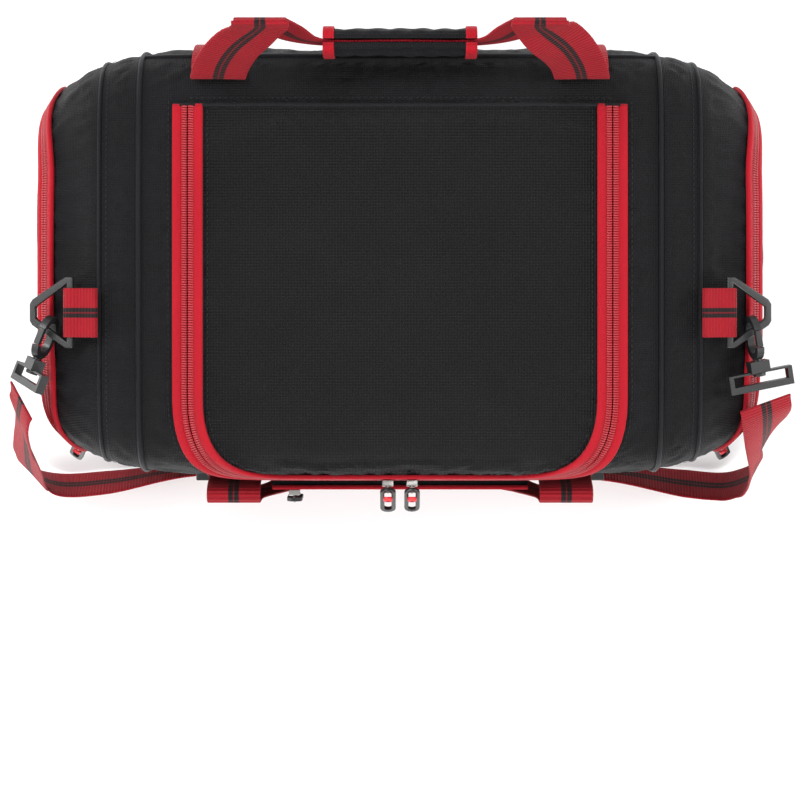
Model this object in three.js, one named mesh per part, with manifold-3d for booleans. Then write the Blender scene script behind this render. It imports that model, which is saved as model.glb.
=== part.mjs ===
// Drop-bottom sports duffel: a zipped U lid, a hinged shoe tray under the main compartment, end pockets,
// two webbing handles with a wrap grip, and a clip-on shoulder strap.
// Millimetres. Origin at the centre of the base, +X to the bag's right end, +Y to its back, +Z up.
import * as THREE from 'three';
import { mergeVertices } from 'three/addons/utils/BufferGeometryUtils.js';
import Module from 'manifold-3d';

const wasm = await Module();
wasm.setup();

// ---------- Driving dimensions ----------
const bagLength = 530;
const bagDepth = 306;
const bagHeight = 332;
const trayHeight = 110;
const shoulderHeight = trayHeight + 40; // above this the ends and faces start to curve in
const wall = 4;
const trayEdgeRadius = 10;
const boardThickness = 3;
const planPower = 5; // how square the plan outline is
const endPower = 5; // how late the ends curve over to the top
const facePower = 8; // how late the front and back curve over

const webWidth = 38;
const webThickness = 1.8;
const tapeWidth = 10; // one side of a zip
const tapeThickness = 1.2;

const lidHalfWidth = 146;
const lidHingeY = bagDepth / 2 - 47;
const lidFrontHeight = bagHeight - 43; // of the lid's zip on the front face
const lidCornerRadius = 68;
const lidCutTilt = THREE.MathUtils.degToRad(40);

const archHalfWidth = bagDepth / 2 - 29;
const archCentreY = -6;
const archTop = bagHeight - 41;
const archBottom = trayHeight + 16;
const archRadius = 62;
const archZipStart = archBottom + 24;
const pocketDepth = 42; // from the bag's end to the liner behind each end pocket

const frontPocketHalfWidth = 92;
const frontPocketBottom = trayHeight + 11;
const frontPocketTop = bagHeight - 86;
const frontPocketBulge = 9;
const frontPocketMouth = 4.8;
const panelThickness = 2.4;

const strapTopX = 118;
const strapBuckleX = 134;
const buckleWidth = webWidth + 6;
const buckleThickness = 12;
const buckleTop = trayHeight + 21;
const socketHeight = 35;
const ladderHeight = 26;
const prongLength = 20;
const prongWidth = 4.5;

const handleRootTop = bagHeight - 56; // highest point of the front handle's sewn root
const handleStandOff = 17.5; // of the hanging handle in front of the bag
const handlePivotY = -bagDepth / 2 - handleStandOff;
const handlePivotZ = handleRootTop - 6.5;
const handleDrop = 214; // from the pivot to the middle of the hanging handle
const handleTuck = 9.5; // of the hanging handle's middle, back towards the tray
const rearPivotY = bagDepth / 2 - 27;
const rearPivotZ = bagHeight - 1;
const rearFoldY = rearPivotY + 32;
const rearFoldZ = rearPivotZ + 81;
const gripY = rearFoldY - 8;
const gripZ = rearFoldZ - 72;
const gripLength = 104;
const gripHeight = 40;
const gripHalfThickness = 10;

const ringY = -35;
const ringX = bagLength / 2 - 46;
const ringInner = webWidth + 2;
const ringBar = 4.6;
const ringReach = 30;
const ringThickness = 4;

const pullLength = 34;
const pullWidth = 11;
const pullThickness = 3;
const pullSplay = THREE.MathUtils.degToRad(24); // of the pulls that are pushed outwards
const sliderLength = 8;
const sliderWidth = 11;
const sliderThickness = 4.6;

// Named clearances.
const gap = 0.5; // between pieces that touch or are cut from each other
const lift = 0.9; // of sewn-on webbing and tape above the curved cloth
const pullGap = 1.1; // between a slider and its pull, for the pull to turn
const flapGap = 1.6; // of the end flap inside its arch, for its swing

// ---------- Materials ----------
const paint = (color, roughness, metalness = 0) => new THREE.MeshStandardMaterial({ color, roughness, metalness });
const blackCloth = paint(0x1b1a1c, 0.85);
const blackNylon = paint(0x15151a, 0.6);
const redWeb = paint(0xb4101f, 0.75);
const redTape = paint(0xd0202e, 0.7);
const board = paint(0x2a2a2c, 0.8);
const blackPlastic = paint(0x17181a, 0.4);
const nickel = paint(0x9c9a95, 0.3, 1);

// ---------- Solids ----------
function loft(rings) {
  const count = rings[0].length;
  const positions = [];
  const push = (...points) => points.forEach((p) => positions.push(p.x, p.y, p.z));
  const middle = (ring) => ring.reduce((sum, p) => sum.add(p), new THREE.Vector3()).divideScalar(count);
  for (let i = 0; i < rings.length - 1; i++) {
    for (let k = 0; k < count; k++) {
      const next = (k + 1) % count;
      const [a, b, c, d] = [rings[i][k], rings[i][next], rings[i + 1][next], rings[i + 1][k]];
      push(a, b, c, a, c, d);
    }
  }
  const [first, last] = [rings[0], rings[rings.length - 1]];
  const [firstMiddle, lastMiddle] = [middle(first), middle(last)];
  for (let k = 0; k < count; k++) {
    const next = (k + 1) % count;
    push(firstMiddle, first[next], first[k], lastMiddle, last[k], last[next]);
  }
  const geometry = new THREE.BufferGeometry();
  geometry.setAttribute('position', new THREE.Float32BufferAttribute(positions, 3));
  return closed(geometry);
}

function closed(geometry) {
  const bare = geometry.clone();
  bare.deleteAttribute('normal');
  bare.deleteAttribute('uv');
  const merged = mergeVertices(bare, 1e-4);
  merged.computeVertexNormals();
  return merged;
}

function toSolid(geometry) {
  const bare = closed(geometry);
  return new wasm.Manifold(new wasm.Mesh({
    numProp: 3,
    vertProperties: new Float32Array(bare.attributes.position.array),
    triVerts: new Uint32Array(bare.index.array),
  }));
}

function toGeometry(solid) {
  const mesh = solid.getMesh();
  const geometry = new THREE.BufferGeometry();
  geometry.setAttribute('position', new THREE.BufferAttribute(mesh.vertProperties, 3));
  geometry.setIndex(new THREE.BufferAttribute(mesh.triVerts, 1));
  geometry.computeVertexNormals();
  return geometry;
}

const vec = (x, y, z) => new THREE.Vector3(x, y, z);

// A flat band along points, its width turned towards the matching direction in across.
function ribbon(points, across, width, thickness) {
  return loft(points.map((point, i) => {
    const along = points[Math.min(i + 1, points.length - 1)].clone().sub(points[Math.max(i - 1, 0)]).normalize();
    const side = across[i].clone().addScaledVector(along, -across[i].dot(along)).normalize();
    const up = vec(0, 0, 0).crossVectors(along, side).multiplyScalar(thickness / 2);
    side.multiplyScalar(width / 2);
    return [[-1, -1], [1, -1], [1, 1], [-1, 1]].map(([s, u]) => (
      point.clone().addScaledVector(side, s).addScaledVector(up, u)));
  }));
}

// Webbing through hand-set stations, each [x, y, z, across x, across y, across z].
function webbing(stations, steps, width = webWidth) {
  const centre = new THREE.CatmullRomCurve3(stations.map(([x, y, z]) => vec(x, y, z)));
  const turn = new THREE.CatmullRomCurve3(stations.map(([, , , x, y, z]) => vec(x, y, z)));
  return ribbon(centre.getPoints(steps), turn.getPoints(steps), width, webThickness);
}

function block(sizeX, sizeY, sizeZ, x, y, z) {
  return toSolid(new THREE.BoxGeometry(sizeX, sizeY, sizeZ).translate(x, y, z));
}

function extruded(shape, depth, curveSegments = 6) {
  const geometry = new THREE.ExtrudeGeometry(shape, { depth, bevelEnabled: false, curveSegments });
  return geometry.translate(0, 0, -depth / 2);
}

function slotShape(length, width) {
  const straight = (length - width) / 2;
  const shape = new THREE.Shape();
  shape.absarc(straight, 0, width / 2, -Math.PI / 2, Math.PI / 2, false);
  shape.absarc(-straight, 0, width / 2, Math.PI / 2, 1.5 * Math.PI, false);
  return shape;
}

// ---------- The bag's outer form ----------
const easeIn = (z, power, height) => {
  const t = Math.max(0, (z - shoulderHeight) / (height - shoulderHeight));
  return (1 - t ** power) ** (1 / power);
};
const halfLengthAt = (z) => (bagLength / 2) * easeIn(z, endPower, bagHeight);
const halfDepthAt = (z) => (bagDepth / 2) * easeIn(z, facePower, bagHeight);

// Below zero inside the bag.
function outside(p) {
  if (p.z >= bagHeight) return 1;
  return (Math.abs(p.x) / halfLengthAt(p.z)) ** planPower + (Math.abs(p.y) / halfDepthAt(p.z)) ** planPower - 1;
}

function surfacePoint(inner, direction) {
  let near = 0;
  let far = 400;
  for (let i = 0; i < 50; i++) {
    const middle = (near + far) / 2;
    if (outside(inner.clone().addScaledVector(direction, middle)) > 0) far = middle;
    else near = middle;
  }
  return inner.clone().addScaledVector(direction, near);
}

function surfaceNormal(point) {
  const step = 0.2;
  const inner = point.clone().multiplyScalar(0.999);
  const slope = (axis) => {
    const ahead = inner.clone();
    const behind = inner.clone();
    ahead[axis] += step;
    behind[axis] -= step;
    return Math.min(outside(ahead), 10) - outside(behind);
  };
  return vec(slope('x'), slope('y'), slope('z')).normalize();
}

const frontY = (x, z) => surfacePoint(vec(x, 0, z), vec(0, -1, 0)).y;

function planRing(halfLength, halfDepth, z, count = 48) {
  const bend = (value) => Math.sign(value) * Math.abs(value) ** (2 / planPower);
  return Array.from({ length: count }, (_, i) => {
    const angle = (2 * Math.PI * (i + 0.5)) / count;
    return vec(halfLength * bend(Math.cos(angle)), halfDepth * bend(Math.sin(angle)), z);
  });
}

const riseSteps = [0, 0.35, 0.58, 0.74, 0.85, 0.925, 0.97, 0.995];

function upperForm(inset, bottom) {
  const height = bagHeight - inset;
  const rings = [planRing(bagLength / 2 - inset, bagDepth / 2 - inset, bottom)];
  for (const t of riseSteps) {
    const z = shoulderHeight + t * (height - shoulderHeight);
    const halfLength = (bagLength / 2 - inset) * easeIn(z, endPower, height);
    rings.push(planRing(halfLength, (bagDepth / 2 - inset) * easeIn(z, facePower, height), z));
  }
  return toSolid(loft(rings));
}

// The tray's form, with its bottom edge rounded.
function trayForm(inset, bottom, top, radius) {
  const rings = [0, 0.15, 0.4, 1].map((share) => {
    const cornerInset = radius - Math.sqrt(radius ** 2 - (radius * (1 - share)) ** 2);
    const away = inset + cornerInset;
    return planRing(bagLength / 2 - away, bagDepth / 2 - away, bottom + share * radius);
  });
  rings.push(planRing(bagLength / 2 - inset, bagDepth / 2 - inset, top));
  return toSolid(loft(rings));
}

// ---------- The assembly ----------
const bag = new THREE.Group();

function add(name, shape, material, parent = bag) {
  const geometry = shape instanceof THREE.BufferGeometry ? shape : toGeometry(shape);
  const mesh = new THREE.Mesh(geometry, material);
  mesh.name = name;
  parent.add(mesh);
  return mesh;
}

// A group whose local X and Y lie along the two directions given.
function frameAt(origin, xAxis, yAxis, parent = bag) {
  const x = xAxis.clone().normalize();
  const y = yAxis.clone().addScaledVector(x, -yAxis.dot(x)).normalize();
  const group = new THREE.Group();
  group.matrix.makeBasis(x, y, vec(0, 0, 0).crossVectors(x, y)).setPosition(origin);
  group.matrix.decompose(group.position, group.quaternion, group.scale);
  parent.add(group);
  return group;
}

// A zip tape or sewn band that follows the bag's surface under its middle line.
function surfaceBand(points, width, thickness, above = lift) {
  const normals = points.map(surfaceNormal);
  const centres = points.map((p, i) => p.clone().addScaledVector(normals[i], above + thickness / 2));
  const across = centres.map((p, i) => {
    const ahead = centres[Math.min(i + 1, centres.length - 1)];
    const behind = centres[Math.max(i - 1, 0)];
    return vec(0, 0, 0).crossVectors(normals[i], ahead.clone().sub(behind));
  });
  return ribbon(centres, across, width, thickness);
}

// Shoe tray and its board.
const trayTop = trayHeight - gap;
const tray = trayForm(0, 0, trayTop, trayEdgeRadius)
  .subtract(trayForm(wall, wall, trayHeight + wall, trayEdgeRadius - wall));
add('base_tray', tray, blackCloth);
const boardBottom = wall + gap;
const boardInset = wall + trayEdgeRadius / 2;
add('base_board', loft([boardBottom, boardBottom + boardThickness].map((z) => (
  planRing(bagLength / 2 - boardInset, bagDepth / 2 - boardInset, z)))), board);

// Zip between the tray and the upper body: round the front and both ends, stopping on the back.
const shoeZipBackX = 158;
function shoeZipPath(z) {
  const start = Math.atan2(bagDepth, shoeZipBackX * 4);
  const points = [];
  const turns = 54;
  for (let i = 0; i <= turns; i++) {
    const angle = Math.PI / 2 + start + (2 * (Math.PI - start) * i) / turns;
    const bend = (value) => Math.sign(value) * Math.abs(value) ** (2 / planPower);
    points.push(vec((bagLength / 2) * bend(Math.cos(angle)), (bagDepth / 2) * bend(Math.sin(angle)), z));
  }
  return points;
}
const tapeOffset = gap + tapeWidth / 2;
add('base_zip_tape', surfaceBand(shoeZipPath(trayHeight - tapeOffset), tapeWidth, tapeThickness), redTape);
add('body_zip_tape', surfaceBand(shoeZipPath(trayHeight + tapeOffset), tapeWidth, tapeThickness), redTape);

// Lid outline in the tilted cutting plane: across is X, up is the plane's own axis.
const cutUp = vec(0, Math.cos(lidCutTilt), Math.sin(lidCutTilt));
const cutAlong = vec(0, -Math.sin(lidCutTilt), Math.cos(lidCutTilt));
const lidRearPoint = surfacePoint(vec(0, lidHingeY, shoulderHeight), vec(0, 0, 1));
const lidRear = lidRearPoint.dot(cutUp);
const lidFront = vec(0, frontY(0, lidFrontHeight), lidFrontHeight).dot(cutUp);

function lidCurve(grow, rear) {
  const half = lidHalfWidth + grow;
  const radius = lidCornerRadius + grow;
  const front = lidFront - grow;
  const path = new THREE.Shape();
  path.moveTo(-half, rear);
  path.lineTo(-half, front + radius);
  path.absarc(radius - half, front + radius, radius, Math.PI, 1.5 * Math.PI, false);
  path.lineTo(half - radius, front);
  path.absarc(half - radius, front + radius, radius, 1.5 * Math.PI, 2 * Math.PI, false);
  path.lineTo(half, rear);
  return path;
}

const cutStart = lidRearPoint.dot(cutAlong) - 27; // inside the bag, clear of its bottom and back
function lidPrism(grow, rear) {
  const basis = new THREE.Matrix4().makeBasis(vec(1, 0, 0), cutUp, cutAlong);
  basis.setPosition(cutAlong.clone().multiplyScalar(cutStart + 150));
  return toSolid(extruded(lidCurve(grow, rear), 300, 12).applyMatrix4(basis));
}

function lidPath(grow) {
  return lidCurve(grow, lidRear - 1).getSpacedPoints(58).map(({ x, y }) => {
    const inner = vec(x, 0, 0).addScaledVector(cutUp, y).addScaledVector(cutAlong, cutStart + 5);
    return surfacePoint(inner, cutAlong);
  });
}

// End pocket arch, in the plane across the bag's length.
function archCurve(grow, bottom) {
  const half = archHalfWidth + grow;
  const radius = archRadius + grow;
  const top = archTop + grow;
  const path = new THREE.Shape();
  path.moveTo(archCentreY - half, bottom);
  path.lineTo(archCentreY - half, top - radius);
  path.absarc(archCentreY - half + radius, top - radius, radius, Math.PI, Math.PI / 2, true);
  path.lineTo(archCentreY + half - radius, top);
  path.absarc(archCentreY + half - radius, top - radius, radius, Math.PI / 2, 0, true);
  path.lineTo(archCentreY + half, bottom);
  return path;
}

function archPrism(grow, bottom, side) {
  const basis = new THREE.Matrix4().makeBasis(vec(0, 1, 0), vec(0, 0, 1), vec(1, 0, 0));
  basis.setPosition(side * (bagLength / 2 - 35), 0, 0);
  return toSolid(extruded(archCurve(grow, bottom), 110, 8).applyMatrix4(basis));
}

function archPath(grow, side) {
  return archCurve(grow, archZipStart).getSpacedPoints(40).map(({ x, y }) => (
    surfacePoint(vec(0, x, y), vec(side, 0, 0))));
}

// Upper body shell, lid and end flaps, all cut from one skin.
const skin = upperForm(0, trayHeight + gap).subtract(upperForm(wall, trayHeight - wall));
let shell = skin.subtract(lidPrism(gap, lidRear));
for (const side of [-1, 1]) shell = shell.subtract(archPrism(0, archBottom, side));
add('main_shell', shell, blackCloth);
add('lid', skin.intersect(lidPrism(-gap, lidRear - gap)), blackCloth);
add('shell_zip_tape', surfaceBand(lidPath(tapeOffset), tapeWidth, tapeThickness), redTape);
add('lid_zip_tape', surfaceBand(lidPath(-tapeOffset), tapeWidth, tapeThickness), redTape);

const floorInset = wall + gap;
const floorBottom = trayHeight + 2 * gap;
add('divider_floor', loft([floorBottom, floorBottom + boardThickness].map((z) => (
  planRing(bagLength / 2 - floorInset, bagDepth / 2 - floorInset, z)))), board);

for (const [label, side] of [['left', -1], ['right', 1]]) {
  add(`end_flap_${label}`, skin.intersect(archPrism(-flapGap, archBottom + flapGap, side)), blackNylon);
  add(`end_zip_${label}`, surfaceBand(archPath(tapeOffset, side), tapeWidth, tapeThickness), redTape);
  const linerX = side * (bagLength / 2 - pocketDepth);
  const linerHeight = bagHeight - floorBottom;
  const linerBottom = floorBottom + boardThickness + gap;
  const liner = block(boardThickness, bagDepth, linerHeight, linerX, 0, linerBottom + linerHeight / 2);
  add(`end_pocket_liner_${label}`, liner.intersect(upperForm(wall + gap, trayHeight)), blackNylon);
}

// Front pocket: a bulged panel hinged along its bottom seam, with its zip along the top.
const faceAtPocket = frontY(frontPocketHalfWidth, frontPocketBottom);
const pocketFront = faceAtPocket - gap;
const pocketLip = pocketFront - frontPocketMouth - panelThickness;
function pocketSection() {
  const shape = new THREE.Shape();
  const bulge = pocketFront - frontPocketBulge;
  const outer = [
    [pocketFront, frontPocketBottom], [bulge + 2, frontPocketBottom + 3], [bulge, frontPocketBottom + 28],
    [pocketLip, frontPocketTop],
  ];
  const inner = [
    [pocketLip + panelThickness, frontPocketTop], [bulge + panelThickness, frontPocketBottom + 28],
    [bulge + 2 + panelThickness, frontPocketBottom + 5], [pocketFront, frontPocketBottom + panelThickness],
  ];
  shape.setFromPoints([...outer, ...inner].map(([y, z]) => new THREE.Vector2(y, z)));
  return shape;
}
const alongX = new THREE.Matrix4().makeBasis(vec(0, 1, 0), vec(0, 0, 1), vec(1, 0, 0));
add('front_pocket', extruded(pocketSection(), 2 * frontPocketHalfWidth).applyMatrix4(alongX), blackCloth);
const pocketZipZ = frontPocketTop - tapeWidth / 2;
const pocketZipY = pocketLip - lift - tapeThickness;
add('front_pocket_zip', ribbon(
  [vec(-frontPocketHalfWidth, pocketZipY, pocketZipZ), vec(frontPocketHalfWidth, pocketZipY, pocketZipZ)],
  [vec(0, 0, 1), vec(0, 0, 1)], tapeWidth, tapeThickness), redTape);

// ---------- Zip sliders and pulls ----------
function pullGeometry() {
  const shape = slotShape(pullLength, pullWidth);
  shape.holes.push(slotShape(pullLength - 7, pullWidth - 6));
  return extruded(shape, pullThickness, 3).rotateZ(Math.PI / 2).translate(0, pullLength / 2 - 1.75, 0);
}

function sliderGeometry() {
  const shape = new THREE.Shape();
  const [half, side, nose] = [sliderLength / 2, sliderWidth / 2, sliderWidth / 2 - 2.5];
  shape.setFromPoints([[half, -side], [half, side], [-half, nose], [-half, -nose]]
    .map(([x, y]) => new THREE.Vector2(x, y)));
  const bridge = block(3, 2, 5, 0, 0, sliderThickness / 2 + 2);
  return toSolid(extruded(shape, sliderThickness)).add(bridge);
}

// The slider stands on the coil at point; its pull hangs from it, splayed outwards by an angle.
function slider(name, point, normal, along, hang, splay = 0, base = lift + tapeThickness) {
  const middle = point.clone().addScaledVector(normal, base + gap + sliderThickness / 2);
  const across = vec(0, 0, 0).crossVectors(normal, along);
  add(`${name}_slider`, sliderGeometry(), nickel, frameAt(middle, along, across));
  const pivot = middle.clone().addScaledVector(normal, sliderThickness / 2 + pullGap + pullThickness / 2);
  pivot.addScaledVector(hang, -4.2);
  const width = vec(0, 0, 0).crossVectors(hang, normal);
  const reach = hang.clone().applyAxisAngle(width, splay);
  add(`${name}_pull`, pullGeometry(), blackPlastic, frameAt(pivot, width, reach));
}

const down = vec(0, 0, -1);
const forward = vec(0, -1, 0);
for (const [label, side] of [['left', -1], ['right', 1]]) {
  const lidSliderX = side * 8.5;
  const lidPoint = surfacePoint(vec(lidSliderX, 0, 0).addScaledVector(cutUp, lidFront)
    .addScaledVector(cutAlong, cutStart + 5), cutAlong);
  const lidNormal = surfaceNormal(lidPoint);
  const lidHang = vec(0, lidNormal.z, -lidNormal.y).negate();
  slider(`lid_${label}`, lidPoint, lidNormal, vec(side, 0, 0), lidHang, pullSplay);
  slider(`shoe_${label}`, vec(side * 11, -bagDepth / 2, trayHeight), forward, vec(side, 0, 0), down);
  const archPoint = surfacePoint(vec(0, archCentreY - archHalfWidth, archZipStart), vec(side, 0, 0));
  const archNormal = surfaceNormal(archPoint).setZ(0).normalize();
  slider(`end_${label}`, archPoint, archNormal, vec(0, 0, -1), down, pullSplay);
}
slider('pocket', vec(-76, pocketZipY, pocketZipZ + 1), forward, vec(-1, 0, 0), down, 0, tapeThickness / 2);

// ---------- Front straps, buckles and the front handle ----------
const acrossX = [1, 0, 0];
for (const [label, side] of [['left', -1], ['right', 1]]) {
  const bandTop = handleRootTop - 26;
  const lean = (strapBuckleX - strapTopX) / (bandTop - buckleTop);
  const bandBottom = buckleTop + 2 * gap + lean * (webWidth / 2);
  const bandZ = [0, 0.18, 0.4, 0.61, 0.81, 1].map((share) => THREE.MathUtils.lerp(bandBottom, bandTop, share));
  const bandX = (z) => side * THREE.MathUtils.mapLinear(z, bandBottom, bandTop, strapBuckleX, strapTopX);
  const sewn = bandZ.map((z) => [bandX(z), frontY(bandX(z), z) - lift - webThickness, z, ...acrossX]);
  const rootX = side * strapTopX;
  const root = [
    [rootX, handlePivotY + 13.7, handleRootTop - 13, ...acrossX],
    [rootX, handlePivotY + 10.3, handleRootTop - 3, ...acrossX],
    [rootX, handlePivotY + 6.5, handleRootTop, ...acrossX],
    [rootX, handlePivotY + 3.3, handleRootTop - 1, ...acrossX],
  ];
  add(`front_strap_${label}`, webbing([...sewn, ...root], 30), redWeb);

  const faceZ = trayHeight;
  const buckleX = side * strapBuckleX;
  const backY = frontY(strapBuckleX, faceZ) - lift - tapeThickness - 2 * gap;
  const middleY = backY - buckleThickness / 2;
  const socketMiddle = buckleTop - socketHeight / 2;
  const cavityTop = buckleTop - 14;
  const socket = block(buckleWidth, buckleThickness, socketHeight, buckleX, middleY, socketMiddle)
    .subtract(block(buckleWidth - 8, buckleThickness - 5.6, 40, buckleX, middleY, cavityTop - 20))
    .subtract(block(webWidth + 2, 20, 5, buckleX, middleY, buckleTop - 8));
  add(`buckle_socket_${label}`, socket, blackPlastic);

  const ladderTop = buckleTop - socketHeight - 2;
  const ladderMiddle = ladderTop - ladderHeight / 2;
  const plugThickness = buckleThickness - 4;
  let plug = block(buckleWidth - 1, plugThickness, ladderHeight, buckleX, middleY, ladderMiddle);
  for (const z of [ladderTop - 7, ladderTop - 18]) {
    plug = plug.subtract(block(webWidth + 1, 20, 6, buckleX, middleY, z));
  }
  const prongX = webWidth / 2 - 5.5;
  const prongs = [[-prongX, prongWidth, prongLength], [0, 6, prongLength - 5], [prongX, prongWidth, prongLength]];
  for (const [x, width, length] of prongs) {
    plug = plug.add(block(width, 3.6, length + 1, buckleX + x, middleY, ladderTop + length / 2 - 0.5));
  }
  add(`buckle_plug_${label}`, plug, blackPlastic);

  const lowerZ = [trayEdgeRadius + 2, 40, ladderTop - 2];
  add(`lower_strap_${label}`, webbing(lowerZ.map((z) => (
    [buckleX, frontY(strapBuckleX, z) - lift - webThickness / 2, z, ...acrossX])), 6), redWeb);
}

// The front handle hangs from its two pivots; its middle lies level below the front pocket.
const hangY = (z) => handlePivotY + handleTuck * (1 - THREE.MathUtils.smoothstep(z, 75, 130));
const legStation = (x, z, tilt) => [x, hangY(z), z, Math.cos(tilt), 0, Math.sin(tilt)];
const handleBottom = handlePivotZ - handleDrop;
const handleHalf = [
  legStation(-strapTopX, handlePivotZ - gap, 0), legStation(-strapTopX + 1, handlePivotZ - 40, 0.1),
  legStation(-103, handlePivotZ - 90, 0.3), legStation(-85, handlePivotZ - 145, 0.42),
  legStation(-66, handleBottom + 24, 0.75), legStation(-45, handleBottom + 5, 1.25),
];
const mirrored = (stations) => stations.map(([x, y, z, ax, ay, az]) => [-x, y, z, -ax, ay, az]).reverse();
const frontMiddle = legStation(0, handleBottom, Math.PI / 2);
add('front_handle', webbing([...handleHalf, frontMiddle, ...mirrored(handleHalf)], 48), redWeb);

// ---------- Rear straps, rear handle and grip ----------
for (const [label, side] of [['left', -1], ['right', 1]]) {
  const x = side * (strapTopX + 7);
  const points = [0, 0.37, 0.72, 1].map((share) => (
    surfacePoint(vec(x, 0, THREE.MathUtils.lerp(trayHeight + 13, rearPivotZ - 81, share)), vec(0, 1, 0))));
  const rollCentre = vec(x, rearPivotY - 76, rearPivotZ - 181);
  for (const angle of [0.9, 0.97, 1.03, 1.08, 1.125]) {
    points.push(surfacePoint(rollCentre, vec(0, Math.cos(angle), Math.sin(angle))));
  }
  add(`rear_strap_${label}`, surfaceBand(points, webWidth, webThickness, lift + gap), redWeb);
  const leg = [
    [x, rearPivotY, rearPivotZ + gap, 1, 0, 0],
    [side * 121, rearPivotY + 8, rearPivotZ + 20, 1, 0, -side * 0.1],
    [side * 111, rearPivotY + 18, rearPivotZ + 43, 1, 0.1, -side * 0.25],
    [side * 98, rearPivotY + 26, rearPivotZ + 61, 1, 0.1, -side * 0.2],
    [side * 92.5, rearFoldY - 3, rearFoldZ - 8, 1, 0, 0], [side * 92, rearFoldY - 1.6, rearFoldZ - 2, 1, 0, 0],
  ];
  add(`rear_leg_${label}`, webbing(leg, 16), redWeb);
}
const bightHalf = [
  [-92, rearFoldY + 1.4, rearFoldZ - 2, 1, 0, 0], [-91.5, rearFoldY + 2.8, rearFoldZ - 14, 1, 0, 0],
  [-81, rearFoldY - 1, rearFoldZ - 41, 0.9, 0, 0.45], [-68, gripY + 2, gripZ + 10, 0.5, 0, 0.85],
  [-51, gripY, gripZ + 1, 0.1, 0, 1],
];
const bightMiddle = [0, gripY, gripZ, 0, 0, 1];
const bight = [...bightHalf, bightMiddle, ...mirrored(bightHalf)];
add('rear_bight', webbing(bight, 44, webWidth - 4), redWeb);

// The grip is two padded halves round the webbing, open along the top and joined along the bottom.
function gripHalf(side) {
  const shape = new THREE.Shape();
  const inner = side * (webThickness / 2 + 3 * gap);
  const outer = side * gripHalfThickness;
  const half = gripHeight / 2;
  shape.moveTo(inner, -half);
  shape.quadraticCurveTo(outer, -half, outer, -half / 3);
  shape.lineTo(outer, half / 3);
  shape.quadraticCurveTo(outer, half, inner, half);
  const basis = new THREE.Matrix4().makeBasis(vec(0, 1, 0), vec(0, 0, 1), vec(1, 0, 0)).setPosition(0, gripY, gripZ);
  return extruded(shape, gripLength, 6).applyMatrix4(basis);
}
add('grip_pad', gripHalf(-1), blackNylon);
add('grip_flap', gripHalf(1), blackNylon);

// ---------- Shoulder strap fittings ----------
function ringGeometry() {
  const half = ringInner / 2;
  const apex = 4;
  const outline = (points) => points.map(([x, y]) => new THREE.Vector2(x, y));
  const shape = new THREE.Shape(outline([
    [-ringBar / 2, -half - ringBar], [ringBar / 2 + 1, -half - ringBar], [ringReach - 2, -apex - 5],
    [ringReach, -apex - 2], [ringReach, apex + 2], [ringReach - 2, apex + 5],
    [ringBar / 2 + 1, half + ringBar], [-ringBar / 2, half + ringBar],
  ]));
  shape.holes.push(new THREE.Path(outline([
    [ringBar / 2, -half], [ringReach - ringBar, -apex], [ringReach - ringBar, apex], [ringBar / 2, half],
  ])));
  return extruded(shape, ringThickness);
}

function hookGeometry() {
  const outer = slotShape(31, 23);
  outer.holes.push(slotShape(22, 14));
  const gateSlot = block(12.4, 6, 10, 0, 9.5, 0);
  const neck = new THREE.CylinderGeometry(3, 3, 13, 12).rotateZ(Math.PI / 2).translate(20, 0, 0);
  const head = new THREE.CylinderGeometry(4.4, 4.4, 2, 12).rotateZ(Math.PI / 2).translate(26, 0, 0);
  return toSolid(extruded(outer, 5, 8)).subtract(gateSlot).add(toSolid(neck)).add(toSolid(head));
}

function hookBarGeometry() {
  const body = block(8, 14, 9, 20.4, 0, 0).add(block(13, webWidth + 9, 6, 30, 0, 0));
  const bore = new THREE.CylinderGeometry(3.4, 3.4, 12, 12).rotateZ(Math.PI / 2).translate(20, 0, 0);
  const slot = block(7, webWidth + 2.4, 10, 28.4, 0, 0);
  return body.subtract(slot).subtract(toSolid(bore));
}

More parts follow.
